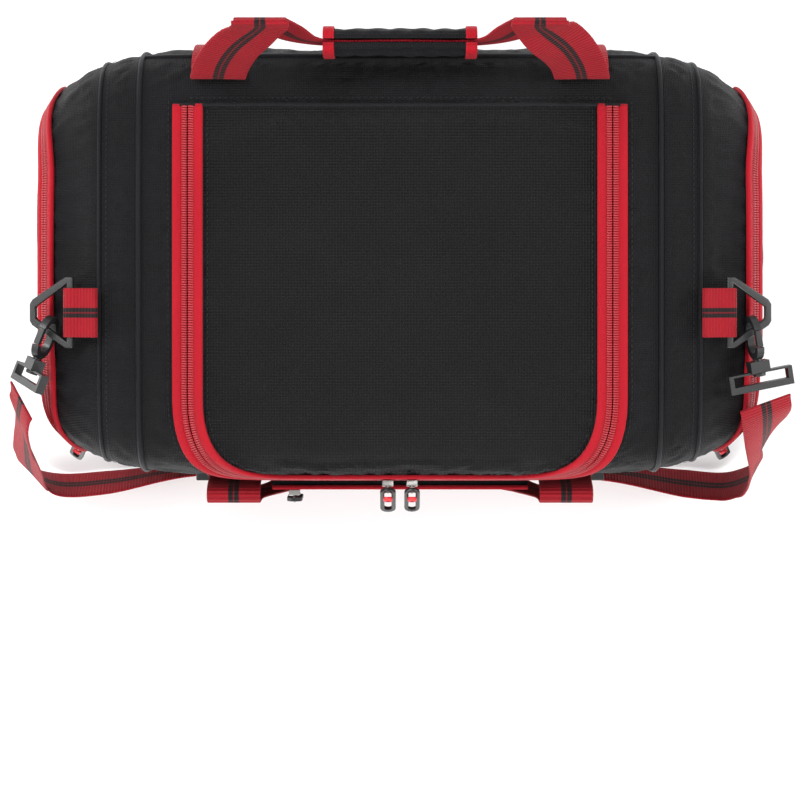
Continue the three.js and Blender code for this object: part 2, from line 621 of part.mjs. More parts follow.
const tabFold = [[-21, -1.4], [-9, -2.2], [-2, -3.9], [2.6, -3.4], [4.2, 0], [2.6, 3.4], [-2, 3.9], [-9, 1.6],
  [-21, 0.9]];
const ringLegReach = 17; // where along the ring each hook hangs
const hookSettings = {
  left: { side: -1, pitch: 16, lean: vec(-0.36, -0.93, 0), barRoll: vec(0.55, 0, 0.83) },
  right: { side: 1, pitch: 12, lean: vec(0.16, -0.98, -0.08), barRoll: vec(1, 0, -0.25) },
};
for (const [label, { side, pitch, lean, barRoll }] of Object.entries(hookSettings)) {
  const seat = surfacePoint(vec(side * ringX, ringY, shoulderHeight), vec(0, 0, 1));
  const normal = surfaceNormal(seat).setY(0).normalize();
  const slope = vec(side * normal.z, 0, -Math.abs(normal.x));
  const pivot = seat.clone().addScaledVector(normal, 8.2).addScaledVector(slope, 6);
  const tabPoints = tabFold.map(([u, w]) => pivot.clone().addScaledVector(slope, u).addScaledVector(normal, w));
  add(`ring_tab_${label}`, ribbon(tabPoints, tabPoints.map(() => vec(0, 1, 0)), webWidth - 4, webThickness - 0.4), redWeb);

  const drop = THREE.MathUtils.degToRad(pitch);
  const outward = vec(side * Math.cos(drop), 0, -Math.sin(drop));
  add(`ring_${label}`, ringGeometry(), blackPlastic, frameAt(pivot, outward, vec(0, 1, 0)));

  const legMiddle = pivot.clone().addScaledVector(outward, ringLegReach).add(vec(0, -13, 0));
  const hookCentre = legMiddle.addScaledVector(lean.normalize(), 4.5);
  const hookAcross = vec(0, 0, 0).crossVectors(lean, outward).multiplyScalar(side);
  const hook = frameAt(hookCentre, lean, hookAcross);
  add(`snap_hook_${label}`, hookGeometry(), blackPlastic, hook);
  add(`snap_gate_${label}`, block(11.6, 4, 4.4, 0, 9.2, 0), blackPlastic, frameAt(hookCentre, lean, hookAcross));
  add(`hook_bar_${label}`, hookBarGeometry(), blackPlastic, frameAt(hookCentre, lean, barRoll));
}

// Shoulder strap, from the left hook's bar down to the floor, along the front and up to the right hook's bar.
const strapStations = [
  [-263, -96, 313, 0.5, -0.2, 0.85], [-266, -107, 302, 0.4, -0.5, 0.75], [-269, -120, 262, 0.35, -0.85, 0.35],
  [-277, -134, 190, 0.45, -0.88, 0.15], [-286, -150, 120, 0.6, -0.8, 0.1], [-293, -163, 62, 0.65, -0.65, 0.35],
  [-292, -173, 30, 0.5, -0.4, 0.75], [-275, -180, 20.5, 0.2, -0.4, 0.88], [-235, -178, 19.5, 0, -0.4, 0.9],
  [-170, -168, 20, 0, -0.2, 1], [-90, -167, 20.5, 0, -0.1, 1], [0, -167, 20.5, 0, -0.1, 1],
  [90, -167, 20.5, 0, -0.1, 1], [170, -170, 20.5, 0, -0.3, 0.95], [230, -179, 19.5, 0, -0.5, 0.85],
  [262, -181, 22, -0.2, -0.5, 0.8], [278, -174, 40, -0.45, -0.65, 0.55], [277, -162, 85, -0.35, -0.9, 0.2],
  [270, -148, 150, -0.3, -0.93, 0.1], [264, -134, 225, -0.5, -0.8, 0.15], [259, -118, 280, -0.8, -0.5, 0.2],
  [256, -106, 304, -0.95, -0.25, 0.25], [254, -98, 311, -0.96, -0.18, 0.23],
];
add('shoulder_strap', webbing(strapStations, 80), redWeb);

export default bag;
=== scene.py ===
"""Looks for the drop-bottom sports duffel: cloth, webbing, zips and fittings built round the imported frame.
Metres, in the frame's own axes: origin at the centre of the base, +X right end, +Y back, +Z up."""

import math

import bmesh
import bpy
import numpy as np
from mathutils import Matrix, Vector, kdtree, noise
from mathutils.bvhtree import BVHTree


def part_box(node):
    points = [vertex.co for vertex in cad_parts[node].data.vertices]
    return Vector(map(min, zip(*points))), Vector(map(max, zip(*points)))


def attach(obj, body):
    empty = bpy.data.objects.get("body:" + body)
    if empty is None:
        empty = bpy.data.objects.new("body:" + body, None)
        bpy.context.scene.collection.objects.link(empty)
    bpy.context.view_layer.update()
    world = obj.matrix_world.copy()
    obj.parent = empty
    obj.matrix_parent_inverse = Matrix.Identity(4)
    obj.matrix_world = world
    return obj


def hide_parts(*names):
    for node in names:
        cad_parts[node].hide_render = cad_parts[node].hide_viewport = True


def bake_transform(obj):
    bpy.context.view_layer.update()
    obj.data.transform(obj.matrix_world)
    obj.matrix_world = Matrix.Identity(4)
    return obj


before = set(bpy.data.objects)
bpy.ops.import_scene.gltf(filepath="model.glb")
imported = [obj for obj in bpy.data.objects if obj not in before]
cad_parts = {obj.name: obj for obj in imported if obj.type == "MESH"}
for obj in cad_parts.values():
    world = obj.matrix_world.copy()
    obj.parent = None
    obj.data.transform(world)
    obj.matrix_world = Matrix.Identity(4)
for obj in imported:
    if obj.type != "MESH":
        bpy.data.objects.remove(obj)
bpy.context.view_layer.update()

MM = 0.001
SIDES = (("left", -1), ("right", 1))

# ---------- Camera: straight above the bag, as far as the photo's perspective asks ----------
CAMERA_HEIGHT = 2.1
PHOTO_SCALE = 0.5905 / 1.9  # width of the picture over distance

camera = bpy.data.objects.new("camera", bpy.data.cameras.new("camera"))
camera.location = (0, 0, CAMERA_HEIGHT)
camera.data.sensor_width = 36
camera.data.lens = 36 / PHOTO_SCALE
camera.data.shift_y = -0.1725
bpy.context.collection.objects.link(camera)
bpy.context.scene.camera = camera

# ---------- The bag's form, as in the CAD ----------
HALF_LENGTH = 0.265
HALF_DEPTH = 0.153
HEIGHT = 0.332
SHOULDER = 0.150
SEAM_Z = 0.110
PLAN_POWER = 5
END_POWER = 5
FACE_POWER = 8
WEB = 0.038
LID_HALF = 0.146
LID_REAR = 0.106
LID_FRONT_Z = 0.289
LID_RADIUS = 0.068
LID_TILT = math.radians(40)
ARCH_HALF = 0.124
ARCH_Y = -0.006
ARCH_TOP = 0.291
ARCH_RADIUS = 0.062
ARCH_FOOT = 0.150
PIPING_X = 0.180
FELL_X = 0.208


def ease(z, power):
    t = np.clip((z - SHOULDER) / (HEIGHT - SHOULDER), 0, 1)
    return (1 - t**power) ** (1 / power)


def outside(p):
    """Below zero inside the bag, for an array of points."""
    z = np.minimum(p[:, 2], HEIGHT - 1e-6)
    form = (np.abs(p[:, 0]) / (HALF_LENGTH * ease(z, END_POWER))) ** PLAN_POWER
    form = form + (np.abs(p[:, 1]) / (HALF_DEPTH * ease(z, FACE_POWER))) ** PLAN_POWER - 1
    return np.where(p[:, 2] >= HEIGHT - 1e-6, 1.0, form)


def to_skin(inner, direction):
    """Where lines from inner points leave the bag."""
    inner = np.atleast_2d(np.asarray(inner, float))
    direction = np.broadcast_to(np.asarray(direction, float), inner.shape)
    direction = direction / np.linalg.norm(direction, axis=1, keepdims=True)
    near = np.zeros(len(inner))
    far = np.full(len(inner), 0.5)
    for _ in range(40):
        middle = (near + far) / 2
        out = outside(inner + direction * middle[:, None]) > 0
        far = np.where(out, middle, far)
        near = np.where(out, near, middle)
    return inner + direction * near[:, None]


def skin_normal(points):
    points = np.atleast_2d(points)
    inner = points * 0.9985
    step = 0.0004
    slope = np.empty_like(inner)
    for axis in range(3):
        shift = np.zeros(3)
        shift[axis] = step
        slope[:, axis] = np.clip(outside(inner + shift), -1, 4) - outside(inner - shift)
    return slope / np.linalg.norm(slope, axis=1, keepdims=True)


def bend(value, power=PLAN_POWER):
    return np.sign(value) * np.abs(value) ** (2 / power)


# ---------- Seams ----------
CUT_UP = np.array([0, math.cos(LID_TILT), math.sin(LID_TILT)])
CUT_ALONG = np.array([0, -math.sin(LID_TILT), math.cos(LID_TILT)])
lid_rear = float(to_skin([[0, LID_REAR, 0.2]], [0, 0, 1])[0] @ CUT_UP)
lid_front = float(to_skin([[0, 0, LID_FRONT_Z]], [0, -1, 0])[0] @ CUT_UP)


def resample(points, step):
    points = np.asarray(points, float)
    length = np.concatenate([[0], np.cumsum(np.linalg.norm(np.diff(points, axis=0), axis=1))])
    count = max(2, int(round(length[-1] / step)) + 1)
    at = np.linspace(0, length[-1], count)
    return np.stack([np.interp(at, length, points[:, k]) for k in range(points.shape[1])], axis=1)


def rounded_arch(half, foot, top, radius):
    """Flat outline of a U turned down: up one side, round two corners and down the other."""
    turn = np.linspace(math.pi, math.pi / 2, 16)
    left = np.stack([radius * np.cos(turn) - half + radius, radius * np.sin(turn) + top - radius], 1)
    right = left[::-1] * [-1, 1]
    return np.concatenate([[[-half, foot]], left, right, [[half, foot]]])


def lid_seam(grow=0.0, rear=None, step=0.002):
    rear = lid_rear if rear is None else rear
    flat = rounded_arch(LID_HALF + grow, -rear, -(lid_front - grow), LID_RADIUS + grow)
    flat = resample(flat, step)
    inner = np.zeros((len(flat), 3)) + [0, 0, 0]
    inner[:, 0] = flat[:, 0]
    inner += -flat[:, 1:2] * CUT_UP + 0.16 * CUT_ALONG
    return to_skin(inner, CUT_ALONG)


def arch_seam(side, grow=0.0, foot=ARCH_FOOT, step=0.002):
    flat = resample(rounded_arch(ARCH_HALF + grow, foot, ARCH_TOP + grow, ARCH_RADIUS + grow), step)
    inner = np.stack([np.zeros(len(flat)), flat[:, 0] + ARCH_Y, flat[:, 1]], 1)
    return to_skin(inner, [side, 0, 0])


def tray_seam(z=SEAM_Z, back_x=0.158, step=0.002):
    start = math.atan2(2 * HALF_DEPTH, back_x * 4)
    angle = math.pi / 2 + start + np.linspace(0, 2 * (math.pi - start), 400)
    ring = np.stack([HALF_LENGTH * bend(np.cos(angle)), HALF_DEPTH * bend(np.sin(angle)), 0 * angle + z], 1)
    return resample(ring, step)


def cross_seam(x, low=SEAM_Z + 0.012, step=0.003):
    """Front to back over the top at one x."""
    angle = np.linspace(-0.24, math.pi + 0.24, 240)
    inner = np.tile([x, 0, SHOULDER + 0.02], (len(angle), 1))
    way = np.stack([0 * angle, -np.cos(angle), np.sin(angle)], 1)
    line = to_skin(inner, way)
    return resample(line[line[:, 2] > low], step)


seams = [lid_seam(), arch_seam(-1), arch_seam(1), tray_seam()]
for x in (PIPING_X, FELL_X):
    seams += [cross_seam(x), cross_seam(-x)]
yoke = np.stack([np.linspace(-PIPING_X, PIPING_X, 120), np.full(120, LID_REAR + 0.002), np.full(120, 0.2)], 1)
yoke = to_skin(yoke, [0, 0, 1])
rear_yoke = np.stack([np.linspace(-PIPING_X, PIPING_X, 120), np.full(120, 0.143), np.full(120, 0.2)], 1)
rear_yoke = to_skin(rear_yoke, [0, 0, 1])
seams += [yoke, rear_yoke]
for x in (-0.139, -0.125, -0.111, 0.111, 0.125, 0.139):
    under_rear_strap = cross_seam(x, low=SEAM_Z + 0.006)
    seams.append(under_rear_strap[under_rear_strap[:, 1] > 0.10])

seam_tree = kdtree.KDTree(sum(len(s) for s in seams))
seam_run = []
for line in seams:
    run = np.concatenate([[0], np.cumsum(np.linalg.norm(np.diff(line, axis=0), axis=1))])
    for point, along in zip(line, run):
        seam_tree.insert(Vector(point), len(seam_run))
        seam_run.append(along)
seam_tree.balance()

# ---------- Materials ----------


class Shader:
    """Builds one Principled material with short calls for its nodes."""

    def __init__(self, name, color, roughness=0.6, **inputs):
        self.material = bpy.data.materials.new(name)
        self.material.use_nodes = True
        self.tree = self.material.node_tree
        self.surface = self.tree.nodes["Principled BSDF"]
        self.surface.inputs["Base Color"].default_value = (*color, 1)
        self.surface.inputs["Roughness"].default_value = roughness
        for key, value in inputs.items():
            socket = self.surface.inputs[key.replace("_", " ")]
            socket.default_value = (*value, 1) if isinstance(value, tuple) else value

    def node(self, kind, **settings):
        made = self.tree.nodes.new(kind)
        for key, value in settings.items():
            setattr(made, key, value)
        return made

    def feed(self, socket, value):
        if isinstance(value, bpy.types.NodeSocket):
            self.tree.links.new(value, socket)
        else:
            socket.default_value = value

    def math(self, operation, a, b=0.0, c=0.0):
        made = self.node("ShaderNodeMath", operation=operation)
        for socket, value in zip(made.inputs, (a, b, c)):
            self.feed(socket, value)
        return made.outputs[0]

    def place(self):
        parts = self.node("ShaderNodeSeparateXYZ")
        self.feed(parts.inputs[0], self.node("ShaderNodeTexCoord").outputs["Object"])
        return parts.outputs

    def facing(self):
        parts = self.node("ShaderNodeSeparateXYZ")
        self.feed(parts.inputs[0], self.node("ShaderNodeNewGeometry").outputs["True Normal"])
        return parts.outputs

    def uv(self):
        parts = self.node("ShaderNodeSeparateXYZ")
        self.feed(parts.inputs[0], self.node("ShaderNodeUVMap", uv_map="UVMap").outputs[0])
        return parts.outputs

    def wave(self, value, spacing):
        return self.math("SINE", self.math("MULTIPLY", value, 2 * math.pi / spacing))

    def noise(self, scale, detail=3.0, roughness=0.6):
        made = self.node("ShaderNodeTexNoise")
        made.inputs["Scale"].default_value = scale
        made.inputs["Detail"].default_value = detail
        made.inputs["Roughness"].default_value = roughness
        self.feed(made.inputs["Vector"], self.node("ShaderNodeTexCoord").outputs["Object"])
        return made.outputs["Fac"]

    def mix(self, factor, a, b):
        made = self.node("ShaderNodeMix", data_type="RGBA")
        for index, value in ((0, factor), (6, a), (7, b)):
            self.feed(made.inputs[index], (*value, 1) if isinstance(value, tuple) else value)
        return made.outputs[2]

    def span(self, value, low, high, soft):
        """1 where value lies from low to high, with soft edges."""
        past_low = self.math("DIVIDE", self.math("SUBTRACT", value, low), soft)
        before_high = self.math("DIVIDE", self.math("SUBTRACT", high, value), soft)
        rise = self.math("SMOOTH_MIN", past_low, 1.0, 0.1)
        fall = self.math("SMOOTH_MIN", before_high, 1.0, 0.1)
        inside = self.math("MINIMUM", rise, fall)
        return self.math("MAXIMUM", inside, 0.0)

    def bump(self, height, distance, strength=1.0, after=None):
        made = self.node("ShaderNodeBump")
        made.inputs["Strength"].default_value = strength
        made.inputs["Distance"].default_value = distance
        self.feed(made.inputs["Height"], height)
        if after is not None:
            self.feed(made.inputs["Normal"], after)
        self.feed(self.surface.inputs["Normal"], made.outputs[0])
        return made.outputs[0]


def cloth_material(name, color, light, spacing, roughness, sheen, bump=0.00035):
    s = Shader(name, color, roughness, Specular_IOR_Level=0.14, Sheen_Weight=sheen,
               Sheen_Roughness=0.35, Sheen_Tint=(0.6, 0.62, 0.68))
    x, y, z = s.place()
    nx, ny, nz = s.facing()
    total = None
    for axis, normal in ((x, nx), (y, ny), (z, nz)):
        flat = s.math("SUBTRACT", 1.0, s.math("ABSOLUTE", normal))
        thread = s.math("MULTIPLY", s.wave(axis, spacing), flat)
        total = thread if total is None else s.math("ADD", total, thread)
    slub = s.math("MULTIPLY", s.noise(900, 2), 0.9)
    height = s.math("ADD", total, slub)
    s.bump(height, bump, 0.7)
    patch = s.math("MULTIPLY", s.noise(14, 5), 0.55)
    weave = s.math("MULTIPLY_ADD", total, 0.22, patch)
    s.feed(s.surface.inputs["Base Color"], s.mix(weave, color, light))
    worn = s.math("MULTIPLY_ADD", s.noise(40, 4), 0.22, roughness - 0.11)
    s.feed(s.surface.inputs["Roughness"], worn)
    return s.material


def webbing_material(name, red, dark_red, black):
    """Ribbed webbing: u runs 0 to 1 across the band and v along it, in metres."""
    s = Shader(name, red, 0.62, Specular_IOR_Level=0.16, Sheen_Weight=0.12, Sheen_Tint=(1.0, 0.4, 0.4))
    u, v, _ = s.uv()
    outer = s.span(u, 0.395, 0.605, 0.012)
    inner = s.span(u, 0.482, 0.518, 0.012)
    stripe = s.math("SUBTRACT", outer, s.math("MULTIPLY", inner, 0.6))
    rib = s.wave(v, 0.0024)
    twill = s.wave(s.math("ADD", s.math("MULTIPLY", u, WEB), s.math("MULTIPLY", v, 0.6)), 0.0013)
    thread = s.math("MULTIPLY_ADD", twill, 0.45, rib)
    shade = s.math("MULTIPLY_ADD", thread, 0.16, s.math("MULTIPLY", s.noise(60, 4), 0.6))
    ground = s.mix(shade, dark_red, red)
    s.feed(s.surface.inputs["Base Color"], s.mix(stripe, ground, black))
    edge = s.math("MULTIPLY", s.span(u, 0.03, 0.97, 0.03), 0.8)
    s.bump(s.math("ADD", thread, edge), 0.00035, 0.8)
    return s.material


def plastic_material(name, color, roughness):
    s = Shader(name, color, roughness, Specular_IOR_Level=0.5, Coat_Weight=0.08, Coat_Roughness=0.3)
    grain = s.noise(2600, 2)
    scuff = s.noise(55, 6, 0.7)
    s.bump(s.math("MULTIPLY_ADD", scuff, 0.5, grain), 0.00006, 0.6)
    s.feed(s.surface.inputs["Roughness"], s.math("MULTIPLY_ADD", scuff, 0.3, roughness - 0.15))
    return s.material


def metal_material(name, color, roughness):
    s = Shader(name, color, roughness, Metallic=1.0)
    scuff = s.noise(120, 6, 0.7)
    s.feed(s.surface.inputs["Roughness"], s.math("MULTIPLY_ADD", scuff, 0.25, roughness - 0.12))
    s.bump(s.noise(900, 3), 0.00003, 0.5)
    return s.material


BLACK = (0.0025, 0.0025, 0.003)
lid_cloth_mat = cloth_material("ripstop_cloth", BLACK, (0.010, 0.010, 0.011), 0.0020, 0.62, 0.05, 0.00045)
body_cloth_mat = cloth_material("body_cloth", BLACK, (0.008, 0.008, 0.010), 0.0012, 0.58, 0.04, 0.00028)
end_cloth_mat = cloth_material("end_cloth", (0.003, 0.003, 0.004), (0.007, 0.007, 0.010),
                               0.0010, 0.55, 0.04, 0.0002)
lining_mat = cloth_material("lining_cloth", (0.012, 0.012, 0.014), (0.03, 0.03, 0.034),
                            0.0009, 0.7, 0.08, 0.00015)
piping_mat = cloth_material("piping_cloth", (0.004, 0.004, 0.005), (0.016, 0.016, 0.019),
                            0.0008, 0.45, 0.1, 0.0002)
web_mat = webbing_material("webbing", (0.36, 0.004, 0.013), (0.21, 0.002, 0.008), (0.005, 0.005, 0.006))
tape_mat = cloth_material("zip_tape", (0.32, 0.004, 0.012), (0.47, 0.009, 0.020), 0.0009, 0.62, 0.08, 0.0002)
coil_mat = plastic_material("zip_coil", (0.30, 0.003, 0.010), 0.42)
binding_mat = cloth_material("red_binding", (0.34, 0.004, 0.012), (0.48, 0.008, 0.018),
                             0.0012, 0.62, 0.08, 0.0003)
plastic_mat = plastic_material("black_plastic", (0.010, 0.010, 0.011), 0.38)
nickel_mat = metal_material("nickel", (0.36, 0.355, 0.34), 0.30)
liner_mat = plastic_material("red_liner", (0.60, 0.012, 0.02), 0.45)
thread_mat = cloth_material("thread", (0.006, 0.006, 0.007), (0.03, 0.03, 0.034), 0.0006, 0.5, 0.3, 0.0001)
pad_mat = cloth_material("grip_cloth", BLACK, (0.011, 0.011, 0.013), 0.0012, 0.62, 0.06, 0.0003)

# ---------- Mesh helpers ----------


def new_mesh(name, vertices, faces, material, uvs=None, smooth=True):
    mesh = bpy.data.meshes.new(name)
    mesh.from_pydata([tuple(map(float, v)) for v in vertices], [], faces)
    mesh.materials.append(material)
    if uvs is not None:
        layer = mesh.uv_layers.new(name="UVMap")
        for loop in mesh.loops:
            layer.data[loop.index].uv = uvs[loop.vertex_index]
    mesh.polygons.foreach_set("use_smooth", [smooth] * len(mesh.polygons))
    mesh.validate()
    mesh.update()
    made = bpy.data.objects.new(name, mesh)
    bpy.context.collection.objects.link(made)
    return made


def place(piece, body, *nodes, slot=None):
    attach(piece, body)
    if nodes:
        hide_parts(*nodes)
    return piece


def sweep(name, path, normals, profile, material, uv_width=None, cap=True):
    """Sweeps a closed profile of (across, up) points along a path; across is normal x direction of travel."""
    path = np.asarray(path, float)
    normals = np.broadcast_to(np.asarray(normals, float), path.shape)
    travel = np.gradient(path, axis=0)
    travel /= np.linalg.norm(travel, axis=1, keepdims=True)
    across = np.cross(normals, travel)
    across /= np.linalg.norm(across, axis=1, keepdims=True)
    up = np.cross(travel, across)
    count = len(profile)
    vertices = np.concatenate([path + across * a + up * b for a, b in profile]).reshape(count, -1, 3)
    vertices = vertices.transpose(1, 0, 2).reshape(-1, 3)
    rings = len(path)
    faces = []
    for i in range(rings - 1):
        for k in range(count):
            j = (k + 1) % count
            faces.append((i * count + k, i * count + j, (i + 1) * count + j, (i + 1) * count + k))
    if cap:
        faces.append(tuple(range(count))[::-1])
        faces.append(tuple((rings - 1) * count + k for k in range(count)))
    run = np.concatenate([[0], np.cumsum(np.linalg.norm(np.diff(path, axis=0), axis=1))])
    width = uv_width or (max(a for a, _ in profile) - min(a for a, _ in profile))
    uvs = [(a / width + 0.5, run[i]) for i in range(rings) for a, _ in profile]
    return new_mesh(name, vertices, faces, material, uvs)


def flat_profile(width, thickness, steps=10, crown=0.0):
    """A band's section: flat, with rounded edges."""
    half = width / 2
    r = thickness / 2
    xs = np.linspace(-half + r, half - r, steps)
    top = [(x, r + crown * (1 - (x / half) ** 2)) for x in xs]
    bottom = [(x, -r + crown * (1 - (x / half) ** 2)) for x in xs[::-1]]
    right = [(half - 0.3 * r, 0.7 * r), (half, 0.0), (half - 0.3 * r, -0.7 * r)]
    left = [(-half + 0.3 * r, -0.7 * r), (-half, 0.0), (-half + 0.3 * r, 0.7 * r)]
    return (top + right + bottom + left)[::-1]


def round_profile(radius, count=10):
    angles = np.linspace(0, 2 * math.pi, count, endpoint=False)
    return [(radius * math.cos(a), radius * math.sin(a)) for a in angles]


def spline(stations, count):
    """Centripetal Catmull-Rom through rows of numbers."""
    rows = np.asarray(stations, float)
    ends = np.concatenate([[2 * rows[0] - rows[1]], rows, [2 * rows[-1] - rows[-2]]])
    result = []
    spans = len(rows) - 1
    for at in np.linspace(0, spans, count):
        i = min(int(at), spans - 1)
        t = at - i
        p0, p1, p2, p3 = ends[i : i + 4]
        gaps = [max(np.linalg.norm((b - a)[:3]), 1e-9) ** 0.5 for a, b in ((p0, p1), (p1, p2), (p2, p3))]
        m1 = (p1 - p0) / gaps[0] - (p2 - p0) / (gaps[0] + gaps[1]) + (p2 - p1) / gaps[1]
        m2 = (p2 - p1) / gaps[1] - (p3 - p1) / (gaps[1] + gaps[2]) + (p3 - p2) / gaps[2]
        m1, m2 = m1 * gaps[1], m2 * gaps[1]
        result.append(
            (2 * t**3 - 3 * t**2 + 1) * p1 + (t**3 - 2 * t**2 + t) * m1
            + (-2 * t**3 + 3 * t**2) * p2 + (t**3 - t**2) * m2
        )
    return np.array(result)


def band(name, stations, material=None, width=WEB, thickness=0.0017, step=0.003, crown=0.0):
    """Webbing through stations [x, y, z, across x, across y, across z] in millimetres."""
    rows = np.asarray(stations, float)
    rows[:, :3] *= MM
    length = np.sum(np.linalg.norm(np.diff(rows[:, :3], axis=0), axis=1))
    rows = spline(rows, max(12, int(length / step)))
    path, across = rows[:, :3], rows[:, 3:]
    travel = np.gradient(path, axis=0)
    normals = np.cross(travel, across)
    normals /= np.linalg.norm(normals, axis=1, keepdims=True)
    made = sweep(name, path, normals, flat_profile(width, thickness, crown=crown), material or web_mat, width)
    return made, path


def mirrored(stations):
    return [[-x, y, z, -ax, ay, az] for x, y, z, ax, ay, az in stations][::-1]


def dress(node, body, material, slot, bevel=0.0005, name=None, smooth=True):
    """A CAD piece with its edges rounded and its own finish."""
    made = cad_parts[node].copy()
    made.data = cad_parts[node].data.copy()
    made.name = name or f"{node}_look"
    made.parent = None
    made.matrix_world = Matrix.Identity(4)
    bpy.context.collection.objects.link(made)
    made.data.materials.clear()
    made.data.materials.append(material)
    mesh = bmesh.new()
    mesh.from_mesh(made.data)
    bmesh.ops.remove_doubles(mesh, verts=mesh.verts, dist=1e-5)
    bmesh.ops.dissolve_limit(mesh, angle_limit=math.radians(2), verts=mesh.verts, edges=mesh.edges)
    mesh.to_mesh(made.data)
    mesh.free()
    if bevel:
        rounded = made.modifiers.new("rounded", "BEVEL")
        rounded.width = bevel
        rounded.segments = 2
        rounded.limit_method = "ANGLE"
        rounded.angle_limit = math.radians(32)
        made.modifiers.new("flat_faces", "WEIGHTED_NORMAL").keep_sharp = True
    for polygon in made.data.polygons:
        polygon.use_smooth = smooth
    apply_modifiers(made)
    made.data.set_sharp_from_angle(angle=math.radians(38))
    return place(made, body, node, slot=slot)


def apply_modifiers(piece):
    shown = bpy.context.evaluated_depsgraph_get()
    fresh = bpy.data.meshes.new_from_object(piece.evaluated_get(shown))
    piece.modifiers.clear()
    piece.data = fresh


# ---------- Slack cloth: the skin is let out between its seams and settles under a little air ----------


def skin_grid(step):
    """A regular skin over the upper body, made by pushing a box's grid out to the form."""
    centre = np.array([0, 0, 0.19])
    half = np.array([0.2, 0.11, 0.075])
    verts, index, faces = [], {}, []

    def vertex(p):
        key = tuple(np.round(p / 1e-4).astype(int))
        if key not in index:
            index[key] = len(verts)
            verts.append(p)
        return index[key]

    counts = np.maximum(2, np.round(2 * half / step)).astype(int)
    for axis in range(3):
        for sign in (-1, 1):
            if axis == 2 and sign < 0:
                continue
            a, b = [k for k in range(3) if k != axis]
            for i in range(counts[a]):
                for j in range(counts[b]):
                    corners = []
                    for di, dj in ((0, 0), (1, 0), (1, 1), (0, 1)):
                        p = np.zeros(3)
                        p[axis] = sign * half[axis]
                        p[a] = -half[a] + 2 * half[a] * (i + di) / counts[a]
                        p[b] = -half[b] + 2 * half[b] * (j + dj) / counts[b]
                        corners.append(vertex(p))
                    flip = (sign > 0) == (axis == 1)
                    faces.append(tuple(corners[::-1] if flip else corners))
    verts = np.array(verts)
    return to_skin(centre + 0 * verts, verts), faces


def slack_skin():
    points, faces = skin_grid(0.0042)
    skin = new_mesh("slack_skin", points, faces, body_cloth_mat)
    held = skin.vertex_groups.new(name="held")
    for i, p in enumerate(points):
        _, _, distance = seam_tree.find(Vector(p))
        weight = 1.0 if p[2] < SEAM_Z + 0.008 else max(0.0, 1 - distance / 0.011)
        if weight > 0:
            held.add([i], min(1.0, 1.6 * weight), "REPLACE")
    cloth = skin.modifiers.new("cloth", "CLOTH")
    settings = cloth.settings
    settings.quality = 6
    settings.mass = 0.25
    settings.tension_stiffness = 18
    settings.compression_stiffness = 12
    settings.shear_stiffness = 6
    settings.bending_stiffness = 0.35
    settings.vertex_group_mass = "held"
    settings.shrink_min = -0.028
    settings.use_pressure = True
    settings.uniform_pressure_force = 0.6
    settings.effector_weights.gravity = 0.35
    cloth.collision_settings.use_collision = False
    scene = bpy.context.scene
    cloth.point_cache.frame_start = 1
    cloth.point_cache.frame_end = 22
    for number in range(1, 23):
        scene.frame_set(number)
        bpy.context.view_layer.update()
    apply_modifiers(skin)
    tree = BVHTree.FromObject(skin, bpy.context.evaluated_depsgraph_get())
    scene.frame_set(1)
    bpy.data.objects.remove(skin)
    return tree


slack = slack_skin()


def crumple(p, n):
    """How far the cloth stands off the taut form at one point."""
    v = Vector(p)
    _, index, distance = seam_tree.find(v)
    run = seam_run[index]
    free = min(1.0, max(0.0, (distance - 0.010) / 0.014))
    free = free * free * (3 - 2 * free)
    rise = 0.0
    if slack is not None:
        normal = Vector(n)
        hit = slack.ray_cast(v + normal * 0.025, -normal, 0.120)[0]
        if hit is not None:
            stand_off = (hit - v).dot(normal)
            most = 0.0042 if stand_off > 0 else 0.0020
            rise += most * math.tanh(0.4 * stand_off / most) * min(1.0, max(0.0, distance - 0.006) / 0.006)
    soft = noise.fractal(v * 11.0, 0.8, 2.1, 3)
    creased = abs(noise.noise(Vector((v.x * 38.0, v.y * 17.0, v.z * 24.0))))
    rise += free * (0.0016 * soft - 0.0011 * creased)
    pull = math.exp(-max(0.0, distance - 0.009) / 0.013)
    beat = math.sin(2 * math.pi * run / 0.0145 + 3.0 * noise.noise(v * 30.0))
    rise += 0.0006 * pull * beat * (1.0 if distance > 0.009 else 0.0)
    return max(rise, -0.0026)


